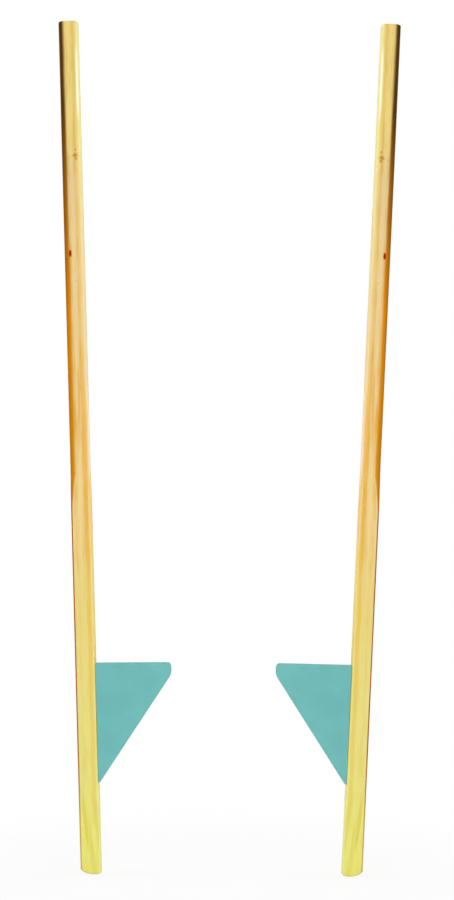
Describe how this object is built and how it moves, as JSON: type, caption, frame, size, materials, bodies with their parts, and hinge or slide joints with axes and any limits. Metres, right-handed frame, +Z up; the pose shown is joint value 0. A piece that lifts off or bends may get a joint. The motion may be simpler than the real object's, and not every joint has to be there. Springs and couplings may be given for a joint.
{
  "type": "stilts",
  "caption": "Wooden walking stilts: square poles with rounded grips and rounded feet, and painted triangular foot rests bolted to their inner sides.",
  "frame": {"origin": "on the ground, midway between the two feet", "axes": "+Z up, +X from the left stilt to the right one as seen from the front, -Y towards the front"},
  "size_m": [0.508, 0.029, 1.2493],
  "materials": {
    "varnished_pine": "clear satin varnish on pine",
    "teal_paint": "solid teal satin paint on wood",
    "zinc_steel": "bright zinc plate",
    "brass": "plain turned brass"
  },
  "bodies": {
    "left_stilt": {"left_pole": "varnished_pine", "left_foot_rest": "teal_paint", "left_upper_bolt": "zinc_steel", "left_lower_bolt": "zinc_steel", "left_upper_washer": "zinc_steel", "left_lower_washer": "zinc_steel", "left_upper_insert": "brass", "left_lower_insert": "brass"},
    "right_stilt": {"right_pole": "varnished_pine", "right_foot_rest": "teal_paint", "right_upper_bolt": "zinc_steel", "right_lower_bolt": "zinc_steel", "right_upper_washer": "zinc_steel", "right_lower_washer": "zinc_steel", "right_upper_insert": "brass", "right_lower_insert": "brass"}
  },
  "joints": [
    {"name": "right_stilt_lift", "type": "slide", "parent": "left_stilt", "child": "right_stilt", "axis": [0, 0, 1], "range_m": [0, 0.25]}
  ]
}
